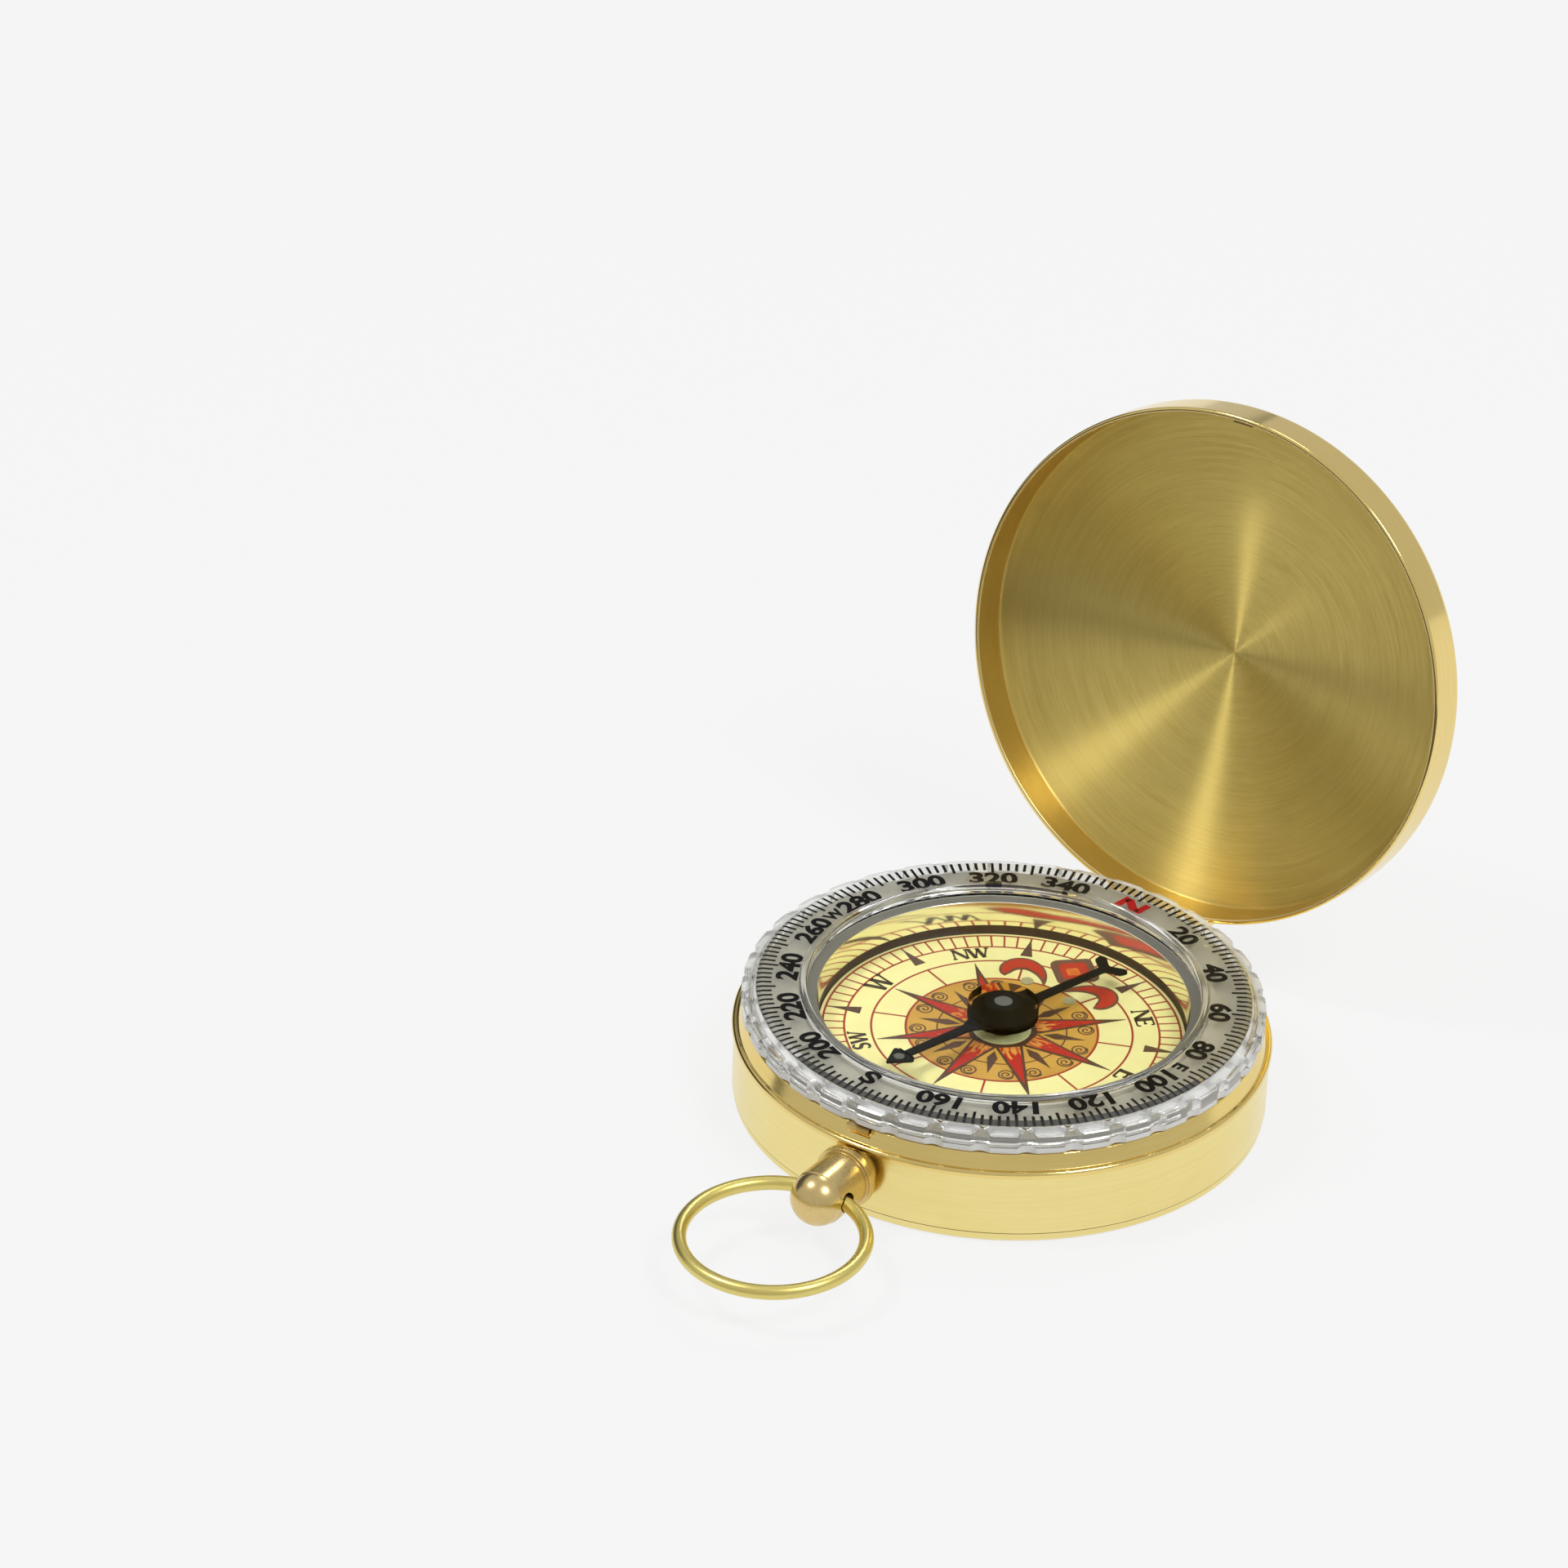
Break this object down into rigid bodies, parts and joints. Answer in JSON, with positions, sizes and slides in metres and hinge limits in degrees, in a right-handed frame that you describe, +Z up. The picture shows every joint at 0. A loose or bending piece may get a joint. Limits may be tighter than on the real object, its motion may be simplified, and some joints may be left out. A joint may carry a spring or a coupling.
{
  "type": "pocket compass",
  "caption": "Round brass pocket compass with a hinged lid standing open, a turning clear degree bezel, a floating needle over a rose dial, a push crown and a bow ring.",
  "frame": {"origin": "centre of the flat back, which rests on a surface", "axes": "+Z up through the dial, +Y towards the lid's hinge and the dial's north, -Y towards the crown, +X towards the dial's east"},
  "size_m": [0.0502, 0.0881, 0.0555],
  "materials": {
    "case_brass": "polished, lacquered",
    "bowl_brass": "mirror polished",
    "lid_brass": "circular brushed inside, satin outside",
    "crown_brass": "polished",
    "bow_brass": "satin",
    "dial_print": "printed luminous paint",
    "lume": "matte luminous",
    "lume_dot": "matte luminous",
    "clear_plastic": "clear",
    "clear_crystal": "clear, polished",
    "clear_bezel": "clear moulded acrylic",
    "scale_print": "printed film",
    "black_paint": "semi-gloss",
    "black_plastic": "semi-gloss",
    "steel": "bright drawn",
    "jewel": "polished"
  },
  "bodies": {
    "case": {"back_cover": "case_brass", "case_band": "case_brass", "compass_bowl": "bowl_brass", "dial_plate": "dial_print", "lume_disc": "lume", "pivot_post": "clear_plastic", "pivot_pin": "steel", "crystal": "clear_crystal", "bezel_spring_wire": "steel", "case_hinge_knuckles": "case_brass", "hinge_pin": "steel", "lid_spring": "steel", "pendant_tube": "case_brass", "crown_spring": "steel"},
    "bezel": {"bezel_ring": "clear_bezel", "bezel_scale_ring": "scale_print"},
    "needle": {"needle_blade": "black_paint", "needle_hub": "black_plastic", "needle_bearing": "clear_plastic", "needle_jewel": "jewel", "needle_lume_dots": "lume_dot"},
    "lid": {"lid_shell": "lid_brass", "lid_hinge_leaf": "case_brass", "lid_catch_lug": "case_brass"},
    "crown": {"crown_button": "crown_brass", "crown_stem": "steel", "latch_hook": "crown_brass", "latch_nut": "steel"},
    "bow": {"bow_ring": "bow_brass"}
  },
  "joints": [
    {"name": "lid_hinge", "type": "hinge", "parent": "case", "child": "lid", "pos_m": [0, 0.0261, 0.00543], "axis": [1, 0, 0], "range_deg": [0, 99.95], "stiffness_Nm_per_rad": 0.004, "springref_deg": -20.05},
    {"name": "bezel_turn", "type": "hinge", "parent": "case", "child": "bezel", "pos_m": [0, 0, 0.0101], "axis": [0, 0, 1], "continuous": true},
    {"name": "needle_turn", "type": "hinge", "parent": "case", "child": "needle", "pos_m": [0, 0, 0.00915], "axis": [0, 0, 1], "continuous": true},
    {"name": "crown_press", "type": "slide", "parent": "case", "child": "crown", "axis": [0, 1, 0], "range_m": [0, 0.0004], "stiffness_N_per_m": 400, "springref_m": -0.002, "deforming": ["crown_spring"]},
    {"name": "bow_swing", "type": "hinge", "parent": "crown", "child": "bow", "pos_m": [0, -0.0295, 0.00467], "axis": [1, 0, 0], "range_deg": [-97, 92]}
  ]
}
